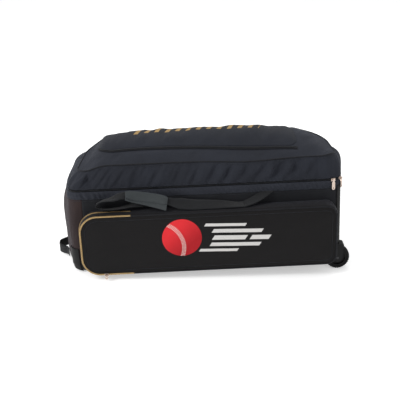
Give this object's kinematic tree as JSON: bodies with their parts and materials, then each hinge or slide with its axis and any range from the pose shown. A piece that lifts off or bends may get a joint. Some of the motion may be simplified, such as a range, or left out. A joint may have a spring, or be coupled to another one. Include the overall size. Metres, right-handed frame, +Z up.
{
  "type": "wheeled cricket kit bag",
  "caption": "Soft wheeled cricket kit bag with a zipped domed lid, a flat lid pocket, a box pocket for bats on the front, webbing handles and wheels at one end.",
  "frame": {"origin": "middle of the bounding box, at floor level", "axes": "+X along the bag towards the wheels, -Y towards the bat pocket, +Z up"},
  "size_m": [0.9528, 0.4188, 0.4401],
  "materials": {
    "navy_fabric": "woven polyester, charcoal navy",
    "black_fabric": "woven polyester, near black",
    "brown_fabric": "woven polyester, brownish black",
    "webbing": "ribbed webbing",
    "grip_padding": "padded grey-green wrap",
    "gold_trim": "gold zip and trim",
    "zip_coil": "dark nylon coil",
    "moulded_base": "moulded black plastic",
    "tyre": "black rubber",
    "rose_metal": "light gold, polished",
    "steel": "plain steel pin"
  },
  "bodies": {
    "bag": {"base_tray": "moulded_base", "front_panel": "black_fabric", "back_panel": "navy_fabric", "right_end_panel": "moulded_base", "left_end_panel": "brown_fabric", "zip_band": "navy_fabric", "zip_coil": "zip_coil", "lid_gusset": "navy_fabric", "lid_piping": "black_fabric", "lid_panel": "navy_fabric", "top_pocket": "navy_fabric", "top_pocket_zip": "zip_coil", "pocket_gusset": "black_fabric", "pocket_face": "black_fabric", "pocket_zip_gold": "gold_trim", "pocket_piping": "black_fabric", "pocket_back_piping": "black_fabric", "pocket_trim_gold": "gold_trim", "front_handle": "webbing", "grip_wrap": "grip_padding", "back_handle": "webbing", "haul_handle": "webbing", "corner_guard_front": "moulded_base", "corner_guard_back": "moulded_base", "side_strip_front": "moulded_base", "side_strip_back": "moulded_base", "wheel_housing_front": "moulded_base", "wheel_housing_back": "moulded_base", "axle_front": "steel", "axle_back": "steel", "main_pull_front_slider": "rose_metal", "main_pull_side_slider": "rose_metal", "pocket_pull_slider": "rose_metal"},
    "front_wheel": {"tyre_front": "tyre", "wheel_hub_front": "moulded_base"},
    "back_wheel": {"tyre_back": "tyre", "wheel_hub_back": "moulded_base"},
    "front_pull": {"main_pull_front_tab": "rose_metal"},
    "side_pull": {"main_pull_side_tab": "rose_metal"},
    "bat_pocket_pull": {"pocket_pull_tab": "rose_metal"}
  },
  "joints": [
    {"name": "front_wheel_spin", "type": "hinge", "parent": "bag", "child": "front_wheel", "pos_m": [0.43661, -0.12381, 0.03997], "axis": [0, 1, 0], "continuous": true},
    {"name": "back_wheel_spin", "type": "hinge", "parent": "bag", "child": "back_wheel", "pos_m": [0.43661, 0.15619, 0.03997], "axis": [0, 1, 0], "continuous": true},
    {"name": "front_pull_swing", "type": "hinge", "parent": "bag", "child": "front_pull", "pos_m": [0.40599, -0.14951, 0.31503], "axis": [-0.9816, -0.1874, -0.0362], "range_deg": [0, 150]},
    {"name": "side_pull_swing", "type": "hinge", "parent": "bag", "child": "side_pull", "pos_m": [0.43395, -0.13154, 0.31606], "axis": [-0.5712, -0.8205, -0.0211], "range_deg": [0, 150]},
    {"name": "bat_pocket_pull_swing", "type": "hinge", "parent": "bag", "child": "bat_pocket_pull", "pos_m": [-0.30946, -0.20691, 0.02328], "axis": [-0.9993, 0, -0.0368], "range_deg": [0, 150]}
  ]
}
